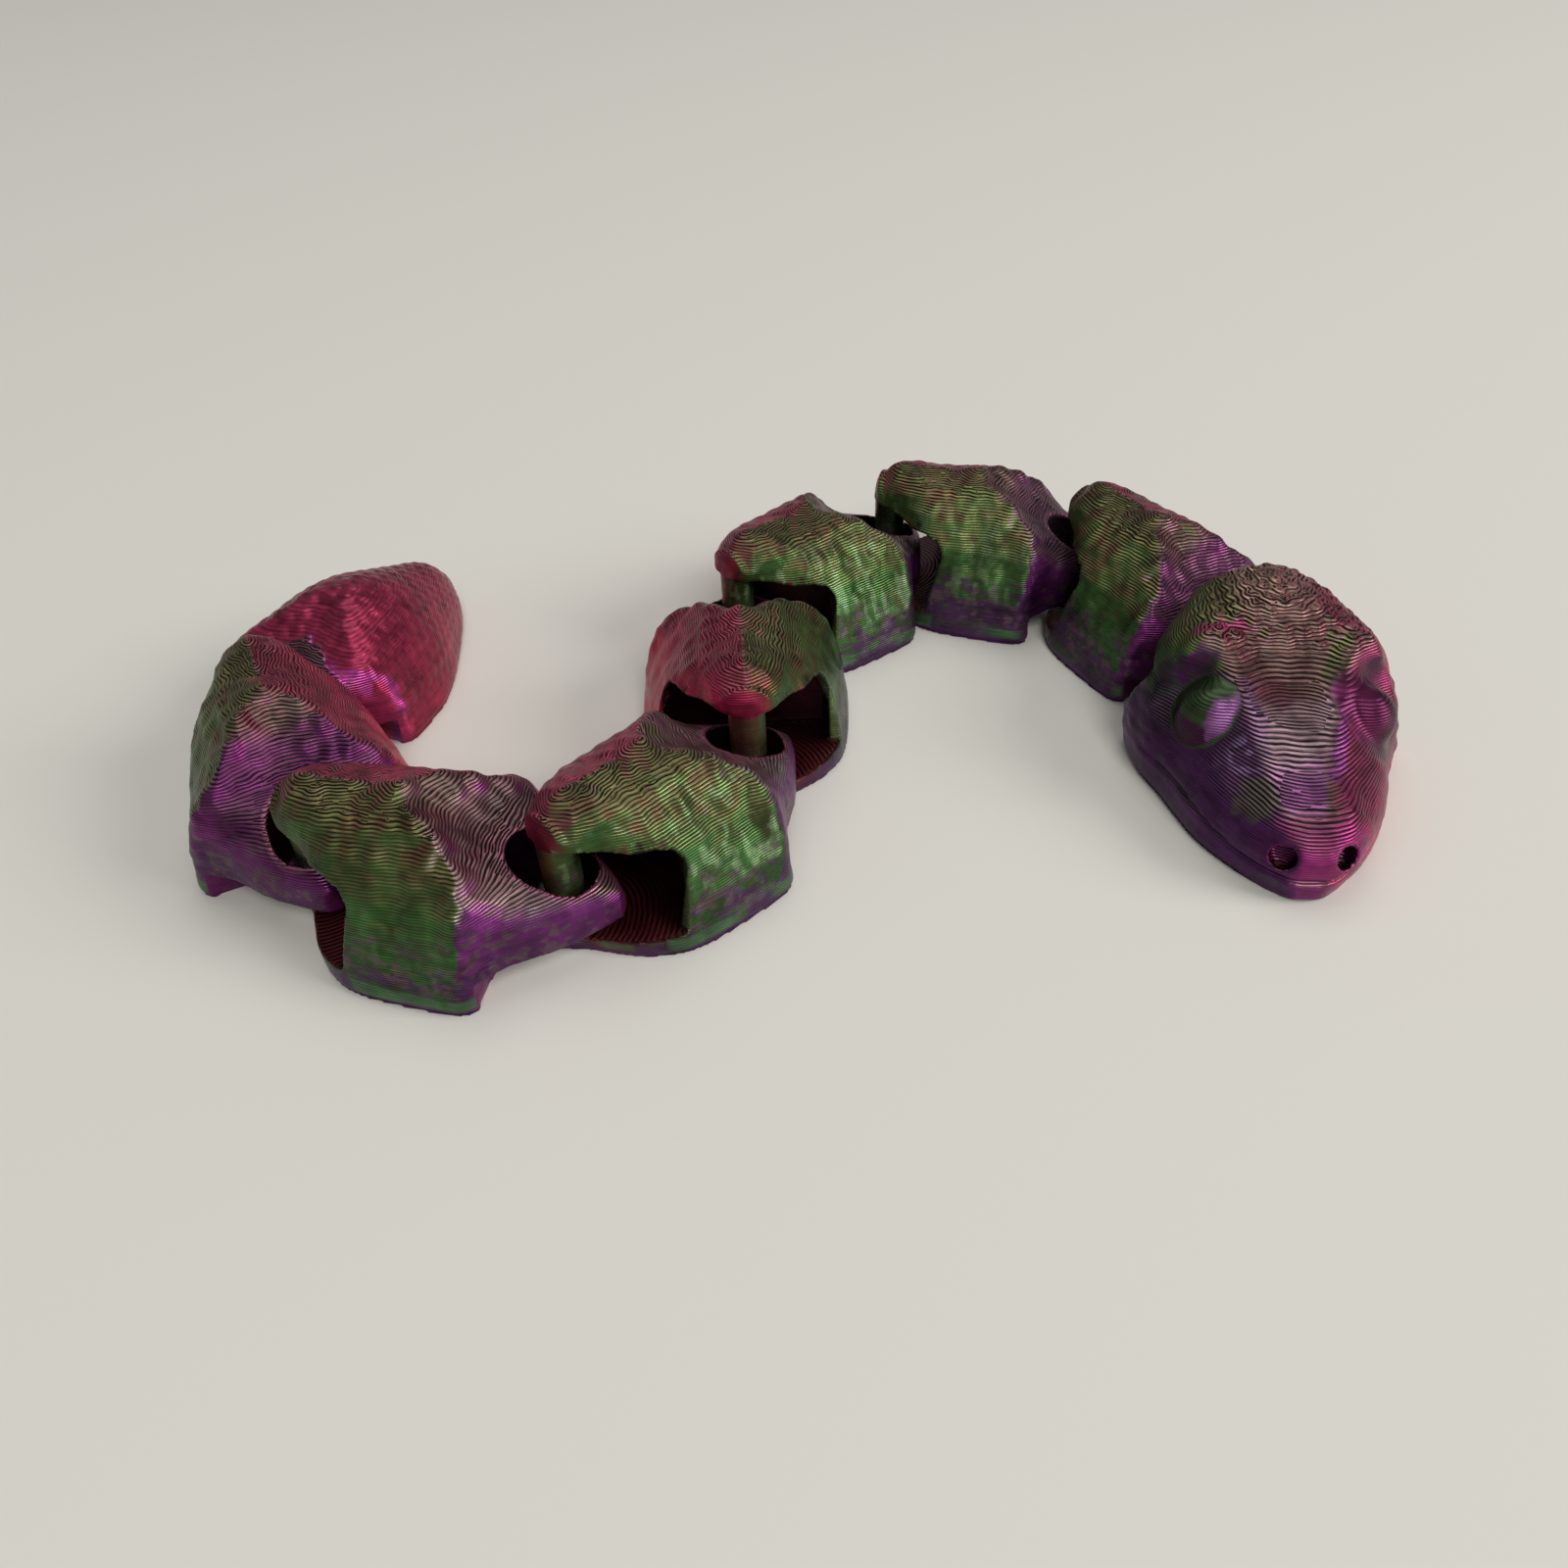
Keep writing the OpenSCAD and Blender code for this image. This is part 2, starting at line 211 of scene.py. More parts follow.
# Patches painted on the head: (colour, strength, radius, raggedness, ends). A patch with a single
# end is round.
FACE_PATCHES = {
    "shade above the right eye": ((60, 38, 58), 0.75, 1.0, 0.4, [(9.6, -6.6, 11.4), (16.4, -5.0, 8.4)]),
    "green of the right temple": ((56, 84, 46), 0.8, 1.5, 0.4, [(4.5, -9.2, 9.5), (9, -9.6, 8.5)]),
    # The brows' tips are painted highlights.
    "highlight on the tip of the right brow": ((206, 70, 130), 0.7, 0.55, 0.4, [(7.2, -6.6, 12.6), (7.2, -3.4, 12.9)]),
    "highlight on the tip of the left brow": ((206, 70, 130), 0.7, 0.55, 0.4, [(7.2, 7.4, 12.2), (7.2, 4.6, 12.8)]),
    "red between the brows": ((112, 44, 64), 0.6, 1.5, 0.5, [(13.2, -1.4, 10.8)]),
    "green of the left brow": ((72, 84, 44), 0.6, 1.4, 0.5, [(11.2, 3.6, 11.6)]),
    # The ridges' lines are painted highlights.
    "highlight along the left ridge": ((154, 62, 158), 0.6, 0.7, 0.4, [(13.4, 4.4, 10.6), (19.6, 2.2, 8.0)]),
    "highlight along the right ridge": ((150, 96, 160), 0.5, 0.7, 0.4, [(12.5, -3.7, 11.0), (17, -3.0, 9.2)]),
    "green before the nostril": ((84, 88, 52), 0.6, 1.7, 1.0, [(21.0, -4.2, 6.2)]),
    "shade behind the right eye": ((58, 38, 58), 0.85, 1.1, 0.4, [(8.6, -9.4, 9.2), (11.5, -9.6, 6.8)]),
}

# The photograph's camera: 41.5 degrees above the floor, and level within 2 degrees
CAMERA_AIM = (3.12, -7.24, 0)
CAMERA_EYE = (3.12, -87.37, 70.96)
CAMERA_ROLL = -1.99
CAMERA_LENS = 28.3275
CAMERA_SENSOR = 36

# Lamps: name, place in metres, size in metres, power in watts
LAMPS = [
    ("window", (1.24, -0.31, 0.77), 0.7, 11.5),
    ("room", (0.3, -1.1, 1.4), 0.8, 12.0),
    ("ceiling", (0.0, 0.7, 1.9), 1.4, 9.0),
]
FLOOR = (222, 218, 208)
FLOOR_HALF_M = 3.0
WORLD_COLOUR = (0.93, 0.95, 1.0, 1)
WORLD_STRENGTH = 0.2


def linear(colour):
    """An sRGB colour, 0..255, as linear values."""
    c = np.asarray(colour, float) / 255
    return np.where(c <= 0.04045, c / 12.92, ((c + 0.055) / 1.055) ** 2.4)


def way(degrees):
    return Vector((math.cos(math.radians(degrees)), math.sin(math.radians(degrees)), 0))


def piece_frames():
    """Each piece's own frame at rest, as a matrix in metres. The hinges are at the pins."""
    at = {}
    for name, joint in zip(NAMES, frame["joints"]):
        pin = Vector(joint["pos_m"])
        at[name] = Vector((pin.x, pin.y, 0))
    at["tail"] = at["link_7"] - PITCH * MM * way(HEADINGS["tail"])
    return {
        n: Matrix.Translation(at[n]) @ Matrix.Rotation(math.radians(HEADINGS[n]), 4, "Z")
        for n in NAMES
    }


def smoothstep(a, b, x):
    t = np.clip((x - a) / (b - a), 0, 1)
    return t * t * (3 - 2 * t)


def band(x, low, high, soft):
    """1 between low and high, and 0 outside, with soft ends."""
    return smoothstep(low - soft, low + soft, x) * smoothstep(high + soft, high - soft, x)


def mixed(a, b, amount):
    return a + amount * (b - a)


def noise(p, cell, seed):
    """Smooth value noise from -1 to 1, whose lumps are about one cell wide."""
    size = 32
    grid = np.random.default_rng(seed).random((size, size, size))
    q = p / cell
    i = np.floor(q).astype(int)
    f = q - i
    f = f * f * (3 - 2 * f)
    out = np.zeros(len(p))
    for corner in range(8):
        d = np.array([corner & 1, corner >> 1 & 1, corner >> 2 & 1])
        w = np.prod(np.where(d, f, 1 - f), axis=1)
        k = (i + d) % size
        out += w * grid[k[:, 0], k[:, 1], k[:, 2]]
    return 2 * out - 1


def scales(u, v, pitch):
    """Rounded bumps on a triangular lattice, 1 at their tops and 0 in the valleys round them."""
    k = 4 * math.pi / (math.sqrt(3) * pitch)
    total = sum(
        np.cos(k * (u * math.cos(a) + v * math.sin(a)))
        for a in (math.radians(30), math.radians(90), math.radians(150))
    )
    return (total + 1.5) / 4.5


def store(mesh, name, values):
    """Stores a number or a linear colour for each point of the mesh, for the material to read."""
    if values.ndim == 1:
        layer = mesh.attributes.new(name, "FLOAT", "POINT")
        layer.data.foreach_set("value", values.astype(np.float32))
    else:
        layer = mesh.attributes.new(name, "FLOAT_COLOR", "POINT")
        rgba = np.concatenate([np.clip(values, 0, 1), np.ones((len(values), 1))], axis=1)
        layer.data.foreach_set("color", rgba.astype(np.float32).ravel())


class Surface:
    """A CAD node in its own frame and in millimetres, remeshed into small even faces."""

    def __init__(self, node, to_world, voxel):
        mesh = frame["nodes"][node].data.copy()
        mesh.transform(Matrix.Scale(1 / MM, 4) @ to_world.inverted())
        work = bpy.data.objects.new("work", mesh)
        bpy.context.scene.collection.objects.link(work)
        even = work.modifiers.new("even", "REMESH")
        even.mode = "VOXEL"
        even.voxel_size = voxel
        graph = bpy.context.evaluated_depsgraph_get()
        self.mesh = bpy.data.meshes.new_from_object(work.evaluated_get(graph))
        bpy.data.objects.remove(work)
        m = self.mesh
        self.v = np.empty(len(m.vertices) * 3)
        m.vertices.foreach_get("co", self.v)
        self.v = self.v.reshape(-1, 3)
        self.edges = np.empty(len(m.edges) * 2, int)
        m.edges.foreach_get("vertices", self.edges)
        self.edges = self.edges.reshape(-1, 2)
        loops = np.empty(len(m.loops), int)
        m.loops.foreach_get("vertex_index", loops)
        self.quads = loops.reshape(-1, 4)
        self.degree = np.bincount(self.edges.ravel(), minlength=len(self.v))

    def around(self, values):
        """The mean of each point's neighbours."""
        a, b = self.edges.T
        n = len(self.v)
        total = [
            np.bincount(a, values[b, c], n) + np.bincount(b, values[a, c], n)
            for c in range(values.shape[1])
        ]
        return np.stack(total, axis=1) / self.degree[:, None]

    def relax(self, steps):
        """Smooths the surface and keeps its volume."""
        for _ in range(steps):
            for weight in (0.5, -0.52):
                self.v += weight * (self.around(self.v) - self.v)

    def melt(self, steps, where):
        """Smooths the surface where the mask is 1, and lets its edges sink."""
        for _ in range(steps):
            self.v += 0.5 * where[:, None] * (self.around(self.v) - self.v)

    def normals(self):
        q = self.v[self.quads]
        face = np.cross(q[:, 2] - q[:, 0], q[:, 3] - q[:, 1])
        n = np.stack([
            sum(np.bincount(self.quads[:, k], face[:, c], len(self.v)) for k in range(4))
            for c in range(3)
        ], axis=1)
        return n / np.maximum(np.linalg.norm(n, axis=1, keepdims=True), 1e-12)

    def push(self, amount):
        """Moves each point along its normal. The belly stays flat."""
        n = self.normals()
        self.v += n * (amount * smoothstep(0.05, 0.5, self.v[:, 2]))[:, None]

    def paint(self, mesh, masks, look, seed):
        """Stores the colours of each point's layer line and groove, and how its layers lie.

        masks holds a value for each point: plate where the floor plate shows the strokes round its
        pin, inner inside the hollows, which get painted shade, rim round the slot, smooth where no top
        lines show, marks in the valleys between scales, which also get painted shade, and tints as
        pairs of a mask and a colour. Its widest is one number, the widest tread with a single stroke.
        look is a row of LOOKS.
        """
        purple, pale, violet = look
        v, n = self.v, self.normals()
        none = np.zeros(len(v))
        plate, inner, rim, smooth, marks = (
            masks.get(k, none)[:, None] for k in ("plate", "inner", "rim", "smooth", "marks"))
        turn, crest, groove = direction_tones(v, n, smooth, seed)
        crest = top_tones(v, n, turn, crest, smooth, rim, violet, seed)
        crest, groove = right_side_tones(v, n, crest, groove, purple, pale, seed)
        for mask, colour in masks.get("tints", ()):
            crest = mixed(crest, linear(colour), mask[:, None])
        uneven = 0.25 * noise(v, 1.9, seed + 9) + 0.2 * noise(v, 0.5, seed + 10)
        # The valleys between scales are darkened as painted shade.
        crest = crest * (1 + uneven)[:, None] * (1 - 0.55 * marks)
        crest = mixed(crest, linear(RIM), rim)
        # The floor plate's lines darken deeper in the socket: painted shade.
        deep_shade = smoothstep(4.2, 6.4, v[:, 0] + 0.15 * np.abs(v[:, 1]))[:, None]
        crest = mixed(crest, linear(PLATE_LINE) * (1 - 0.75 * deep_shade), plate)
        groove = mixed(groove, linear(PLATE_GROOVE), plate)
        # Painted shade inside the hollows
        lit = 1 - (1 - INSIDE) * inner * (1 - plate)
        store(mesh, "crest", crest * lit)
        store(mesh, "groove", groove * lit)

        plate = plate[:, 0]
        flat = np.abs(n[:, 2]) * (1 - smooth[:, 0])
        tread = LAYER * flat / np.sqrt(np.maximum(1 - flat ** 2, 1e-3)) * (1 - plate)
        rings = np.hypot(v[:, 0], v[:, 1]) / STROKE
        store(mesh, "flat", flat)
        store(mesh, "rows", mixed(v[:, 2] / LAYER, rings, plate))
        store(mesh, "split", np.log2(np.maximum(tread, 0.05) / masks.get("widest", WIDEST)))

    def finish(self, masks, look, seed):
        """The painted mesh, in metres and still in the piece's own frame."""
        mesh = self.mesh.copy()
        self.paint(mesh, masks, look, seed)
        mesh.vertices.foreach_set("co", (self.v * MM).ravel())
        mesh.polygons.foreach_set("use_smooth", np.ones(len(mesh.polygons), bool))
        mesh.update()
        return mesh


def direction_tones(v, n, smooth, seed):
    """The direction that each point faces, and the colours of its layer line and groove."""
    turn = np.degrees(np.arctan2(n[:, 1], n[:, 0]))
    turn += 5 * noise(v, 0.5, seed) + 6 * noise(v * (0.5, 0.5, 2.2), 0.9, seed + 1)
    turn += 6 * noise(v, 3.1, seed + 2)
    turn = (turn + 180) % 360 - 180
    # The painted highlight along the right side's edge shows only before the back, so behind it the side
    # stays green.
    turn = np.where((v[:, 0] < 11.5) & (turn > -82) & (turn < -40), -82, turn)
    keys = [t[0] for t in TONES]
    wall, groove, slope = (
        np.stack([np.interp(turn, keys, [linear(t[k])[c] for t in TONES]) for c in range(3)], 1)
        for k in (1, 2, 3)
    )
    rise = smoothstep(0.36, 0.72, n[:, 2])[:, None] * (1 - smooth)
    top = smoothstep(0.75, 0.97, n[:, 2])[:, None] * (1 - smooth)
    return turn, mixed(wall, slope, rise), mixed(groove, linear(TOP_GROOVE), 0.7 * top)


def top_tones(v, n, turn, crest, smooth, rim, violet, seed):
    """Paints the curls on top of the back, the pin, and the slopes before the back."""
    curls = smoothstep(0.6, 0.9, n[:, 2] + 0.3 * noise(v, 0.9, seed + 16)) * (v[:, 2] > 9)
    crest = mixed(crest, linear(CURLS), 0.22 * curls[:, None] * (1 - smooth))
    post = smoothstep(PIN_REACH + 0.1, PIN_REACH - 0.1, np.hypot(v[:, 0], v[:, 1]))
    post *= band(v[:, 2], 1.2, 9.8, 0.2)
    crest = mixed(crest, linear(PIN), 0.65 * post[:, None])
    front = smoothstep(0.02, 0.25, n[:, 0]) * smoothstep(11, 13, v[:, 0])
    front *= smoothstep(-80, -60, turn) * smoothstep(60, 40, turn)
    front *= violet * (0.85 + 0.15 * noise(v, 1.6, seed + 15))
    return mixed(crest, linear(VIOLET_FRONT), front[:, None] * (1 - rim))


def right_side_tones(v, n, crest, groove, purple, pale, seed):
    """Paints the green side's mottles, streaks of painted highlight, turn to purple and lowest layers."""
    height = v[:, 2]
    facing = smoothstep(-0.25, -0.5, n[:, 1]) * smoothstep(0.3, -0.1, n[:, 0])
    olive = smoothstep(-0.1, 0.4, noise(v, 1.5, seed + 11) + 0.4 * noise(v, 0.5, seed + 12))
    crest = mixed(crest, crest * OLIVE_SHIFT, 0.8 * (facing * olive)[:, None])
    # Streaks of painted highlight on the side facing right
    streaks = noise(v * (1.4, 0.45, 0.45), 0.75, seed + 13) + 0.4 * noise(v, 0.4, seed + 14)
    streaks = facing * smoothstep(0.15, 0.4, streaks) * band(height, 3.5, 11.5, 1)
    crest = mixed(crest, linear(GREEN_HIGHLIGHT), 0.6 * pale * streaks[:, None])

    right = smoothstep(-0.3, -0.7, n[:, 1]) * smoothstep(0.5, 0.15, n[:, 2])
    crest = crest * (1 - 0.3 * right * smoothstep(6.5, 3, height))[:, None]
    mottle = noise(v * (1, 1, 1.5), 1.3, seed + 3) + 1.2 * noise(v * (0.7, 0.7, 1.5), 0.42, seed + 4)
    turned = right * smoothstep(0.7, -0.7, height + 2.2 * mottle - 1.2 - 4.6 * purple)
    crest = mixed(crest, linear(LOW_PURPLE), 0.85 * turned[:, None])
    groove = mixed(groove, linear(LOW_GROOVE), 0.85 * turned[:, None])
    flecks = noise(v * (1, 1, 1.6), 0.9, seed + 5) + 0.8 * noise(v, 0.38, seed + 6)
    flecks = right * smoothstep(0.3, 0.42, flecks) * band(height, 1.8, 7.5, 1)
    crest = mixed(crest, linear(GREY_FLECKS), 0.8 * flecks[:, None])
    strip = right * band(height + 0.25 * noise(v, 2, seed + 7), 0.7, 1.7, 0.12)
    strip *= smoothstep(-0.3, 0.3, noise(v * (1, 1, 0.2), 2.2, seed + 8))
    crest = mixed(crest, linear(BASE_STRIP), 0.65 * strip[:, None])
    bottom = right * smoothstep(0.7, 0.4, height)
    return mixed(crest, linear(LOW_PURPLE), bottom[:, None]), groove


def lump(v, at, radius, height):
    """A round hill of that height over the point at, in the plan view."""
    d = np.linalg.norm(v[:, :2] - np.array(at[:2]), axis=1)
    return height * smoothstep(radius, 0, d)


def base_flare(v, n, half_width):
    """The first layers spread a little, and the very first is drawn in again."""
    z = v[:, 2]
    side = smoothstep(0.5, 0.9, np.hypot(n[:, 0], n[:, 1]))
    side *= smoothstep(half_width, half_width + 1.5, np.abs(v[:, 1]))
    return side * (FLARE * smoothstep(2.1, 0.8, z) - FIRST_LAYER_INSET * smoothstep(0.6, 0.1, z))


def slot_masks(v, n):
    """Where a tongue's slot is: its inside, and the rim round its mouth."""
    x, y, _ = v.T
    from_slot = np.hypot(x - np.clip(x, *SLOT_ENDS), y) - SLOT_R
    inner = smoothstep(0.45, 0.25, from_slot) * smoothstep(0.75, 0.5, n[:, 2])
    rim = band(from_slot, 0.1, 0.42, 0.1) * smoothstep(0.3, 0.6, n[:, 2])
    return inner, 0.75 * rim


def socket_mask(v, n, depth):
    """Where a socket's walls and roof are, seen from inside."""
    x, y, z = v.T
    within = smoothstep(SOCKET_HALF + 0.35, SOCKET_HALF + 0.1, np.abs(y))
    within *= smoothstep(depth + 0.4, depth, x)
    within *= band(z, 1.0, 10.1, 0.2) * smoothstep(1.75, 2.1, np.hypot(x, y))
    inward = np.maximum(-n[:, 1] * np.sign(y), np.maximum(-n[:, 2], -n[:, 0] * (x > 3)))
    return within * smoothstep(0.25, 0.6, inward)


def plate_mask(v, n, depth):
    """Where the top of a socket's floor plate is."""
    return smoothstep(0.7, 0.9, n[:, 2]) * band(v[:, 2], 0.9, 2.3, 0.1) * (v[:, 0] < depth)


def wall_edge(v, n):
    """The narrow rear edge of a socket's right wall."""
    x, y, _ = v.T
    return smoothstep(-0.4, -0.8, n[:, 0]) * smoothstep(-6, -6.6, y) * band(x, 3.6, 7, 0.3)


def dress_link(to_world, voxel):
    """One body link, which stands for all seven: scales and ribs on its sides, nubs on its back."""
    s = Surface("link_4", to_world, voxel)
    s.relax(6)
    v, n = s.v, s.normals()
    x, y, z = v.T
    warp = 0.35 * noise(v, 2.4, 11)
    around = np.arctan2(np.abs(y), z - 3) * 9
    outer = smoothstep(8.6, 10, x + 0.18 * np.minimum(z, 9)) * smoothstep(19, 17, x)
    outer *= smoothstep(0.2, 0.6, n[:, 1] * np.sign(y))
    side = outer * band(z, 1.9, 9.5, 0.7)
    strength = 0.35 + 0.65 * smoothstep(-0.4, 0.5, noise(v, 3, 1))
    valley = 1 - scales(x + warp, 1.15 * around + warp, SCALE_PITCH)
    amount = -SCALE_DEPTH * side * strength * valley
    ribs = outer * band(z, 4.5, 11.5, 1.0)
    amount += RIB_HEIGHT * ribs * np.cos(2 * math.pi * (x - CREST_NUBS[0]) / RIB_PITCH)
    up = smoothstep(0.2, 0.6, n[:, 2]) * smoothstep(8.5, 9.8, z)
    amount += up * BACK_GRAIN * (scales(x + warp, y + warp, BACK_PITCH) - 0.5)
    for nub_x in CREST_NUBS:
        amount += up * lump(v, (nub_x, 0), CREST_NUB_R, CREST_NUB_HEIGHT)
    for nub_x, nub_y in EDGE_NUBS:
        for side_y in (-nub_y, nub_y):
            amount += up * lump(v, (nub_x, side_y), EDGE_NUB_R, EDGE_NUB_HEIGHT)
    amount += 0.05 * noise(v, 1.3, 2) * smoothstep(6.5, 8, x) + base_flare(v, n, 6)
    s.push(amount)
    s.relax(1)
    n = s.normals()
    inner, rim = slot_masks(v, n)
    return s, {
        "plate": plate_mask(v, n, 9),
        "inner": np.maximum(inner, socket_mask(v, n, LINK_SOCKET)),
        "rim": rim,
        "marks": 0.5 * side * strength * smoothstep(0.72, 0.95, valley),
        "tints": [(0.85 * wall_edge(v, n), WALL_EDGE)],
    }


def carve_face(s):
    """Gives the head its crown, brows, ridges, eyes, cheeks and mouth.

    Returns what the paint needs for each point: its distance from the middle of the eye, its
    distance from the middle plane and that of the ridge beside it, how far it looks up, and the
    cheek with the valleys between its scales.
    """
    v = s.v
    x, y, z = v.T
    eye = np.hypot(np.hypot(x - EYE[0], np.abs(y) - EYE[1]), z - EYE[2])
    s.melt(60, smoothstep(2.9, 3.3, eye) * smoothstep(7.5, 5.5, eye) * smoothstep(3.5, 4.5, z))
    n = s.normals()
    w = np.abs(y)
    warp = 0.3 * noise(v, 1.9, 12)
    up = smoothstep(0.25, 0.7, n[:, 2])
    crown = up * smoothstep(11, 12.5, z) * smoothstep(12.5, 8, x)
    amount = crown * CROWN_GRAIN * (scales(x + warp, y - warp, CROWN_PITCH) - 0.4)
    amount += crown * 0.10 * noise(v, 0.8, 13)
    brow = up * smoothstep(6, 8.5, x) * smoothstep(16.5, 12, x)
    ridge = np.where(y > 0, np.interp(x, RIDGE_X, RIDGE_LEFT), np.interp(x, RIDGE_X, RIDGE_RIGHT))
    on_ridge = np.exp(-((w - ridge) / RIDGE_WIDTH) ** 2)
    amount += up * RIDGE_HEIGHT * on_ridge * smoothstep(6, 8, x) * smoothstep(20, 15, x)
    amount -= brow * BROW_HOLLOW * smoothstep(ridge - 0.4, 0, w) * smoothstep(8, 10, x)
    tip = lump(np.stack([x, w], 1), BROW_TIP, BROW_TIP_R, BROW_TIP_HEIGHT)
    amount += tip * smoothstep(9.5, 11, z)
    rim = band(eye, 3.3, 5.2, 0.5) * band(z, 5.5, 11.5, 1) * (1 - smoothstep(0.4, 0.8, n[:, 2]))
    amount += EYE_RIM * rim
    ball = smoothstep(3.4, 3.0, eye) * smoothstep(0.2, 0.7, np.abs(n[:, 1]) + n[:, 2])
    amount -= EYE_INSET * ball
    cheek = smoothstep(0.3, 0.7, np.abs(n[:, 1])) * band(z, 3.4, 8.8, 0.6) * smoothstep(3.4, 4.2, eye)
    valley = 1 - scales(x * 0.75 + warp, z * 1.3, CHEEK_PITCH)
    amount -= CHEEK_DEPTH * cheek * valley * smoothstep(19, 14, x)
    mouth_z = MOUTH_FRONT_Z + MOUTH_RISE * smoothstep(24, 15, x)
    mouth = np.exp(-((z - mouth_z) / MOUTH_WIDTH) ** 2) * smoothstep(9, 14, x)
    amount -= MOUTH_DEPTH * mouth * smoothstep(0.3, 0.7, np.hypot(n[:, 0], n[:, 1]))
    amount += 0.035 * noise(v, 1.2, 3) * smoothstep(3.2, 3.8, eye) + base_flare(v, n, 3)
    s.push(amount)
    s.relax(1)

    # The eyeball runs into the head behind and below, and has a soft crease elsewhere.
    high = smoothstep(3.5, 4.5, z)
    merged = band(eye, 2.5, 4.8, 0.4) * high
    merged *= np.maximum(smoothstep(13, 11, x), smoothstep(7.5, 6, z))
    crease = band(eye, 2.7, 4.0, 0.3) * high
    s.melt(120, merged)
    s.melt(30, crease)
    return eye, w, ridge, up, cheek, valley


def face_patch(v, radius, ragged, ends):
    """1 round a point, or along the line between two, with a ragged edge."""
    nearest, soft, seed = np.array(ends[0], float), 0.4, 19
    if len(ends) == 2:
        line = np.array(ends[1]) - nearest
        along = np.clip((v - nearest) @ line / (line @ line), 0, 1)
        nearest, soft, seed = nearest + along[:, None] * line, 0.35, 20
    distance = np.linalg.norm(v - nearest, axis=1) + ragged * noise(v, 0.7, seed)
    return smoothstep(radius + soft, radius - soft, distance)


def dress_head(to_world, voxel):
    """The head, with the colours of its face."""
    s = Surface("head", to_world, voxel)
    s.relax(6)
    eye, w, ridge, up, cheek, valley = carve_face(s)
    v, n = s.v, s.normals()
    x, y, z = v.T
    right = (y < 0) * 1.0
    turn = np.degrees(np.arctan2(n[:, 1], n[:, 0])) + 6 * noise(v, 0.4, 15)
    # Where the painted highlight between the brows goes
    between = up * smoothstep(ridge + 0.3, ridge - 0.5, w)
    between *= smoothstep(12.5, 15, x) * smoothstep(24, 22, x)
    snout = between * smoothstep(17.5, 21, x + 0.8 * noise(v, 1.2, 21))
    top = smoothstep(13, 14, z) * smoothstep(4.2, 2.6, w)
    above_jaw = smoothstep(3, 5, z)
    right_cheek = smoothstep(-0.5, 0.6, -y - ridge) * smoothstep(10, 12, x) * above_jaw
    left_cheek = smoothstep(0, 1.2, y - ridge) * smoothstep(8, 10, x) * above_jaw
    nose = smoothstep(22.4, 24.4, x) * smoothstep(2.2, 3.2, z)
    temple = smoothstep(-0.2, -0.5, n[:, 1]) * smoothstep(5, 8, x + noise(v, 1.5, 17))
    temple *= smoothstep(11, 9.5, z + noise(v, 1.2, 18))
    temple *= smoothstep(0.8, 0.6, n[:, 2] - 0.25 * (w > 6.5))
    # Painted shade on the undersides of the brows
    under_brow_shade = smoothstep(6.4, 4.6, np.hypot(np.hypot(x - 12.6, w - 8), z - 10))
    under_brow_shade *= smoothstep(0.5, 0.2, n[:, 2])
    flecks = face_patch(v, 1.6, 0, [(17.6, -4.2, 7.8)]) * smoothstep(0.1, 0.3, noise(v, 0.5, 14))
    on_eye = smoothstep(3.35, 3.0, eye)
    left_eye = (1 - right) * smoothstep(4.6, 3.8, eye)
    lid = right * on_eye * smoothstep(0.2, 0.35, n[:, 2])
    # A painted highlight on the front facet of the right eye
    facet_highlight = right * on_eye * smoothstep(-28, -22, turn) * band(n[:, 2], -0.35, 0.9, 0.06)
    hole = np.stack([0 * x + NOSTRIL[0], NOSTRIL[1] * np.sign(y), 0 * x + NOSTRIL[2]], 1)
    nostril = smoothstep(1.9, 1.2, np.linalg.norm(v - hole, axis=1)) * smoothstep(0.2, -0.2, n[:, 0])
    tints = [
        (0.6 * between, HIGHLIGHT_BETWEEN_BROWS), (0.6 * top, CROWN), (0.7 * snout, SNOUT),
        (0.85 * right_cheek, RIGHT_CHEEK), (0.75 * left_cheek, LEFT_CHEEK), (0.7 * nose, NOSE),
        (0.85 * temple, TEMPLE), (0.8 * under_brow_shade, UNDER_BROW_SHADE),
    ]
    for colour, strength, radius, ragged, ends in FACE_PATCHES.values():
        tints.append((strength * face_patch(v, radius, ragged, ends), colour))
    tints += [
        (0.8 * flecks, CHEEK_FLECKS), (on_eye, EYEBALL), (0.9 * left_eye, LEFT_EYE),
        (0.9 * lid, LID), (0.85 * facet_highlight, EYE_FACET_HIGHLIGHT),
    ]
    return s, {
        "plate": plate_mask(v, n, 9.6),
        "inner": np.maximum(socket_mask(v, n, HEAD_SOCKET), nostril),
        "smooth": np.maximum(on_eye, left_eye),
        "marks": 0.5 * cheek * smoothstep(0.75, 0.95, valley),
        "widest": HEAD_WIDEST,
        "tints": tints,
    }


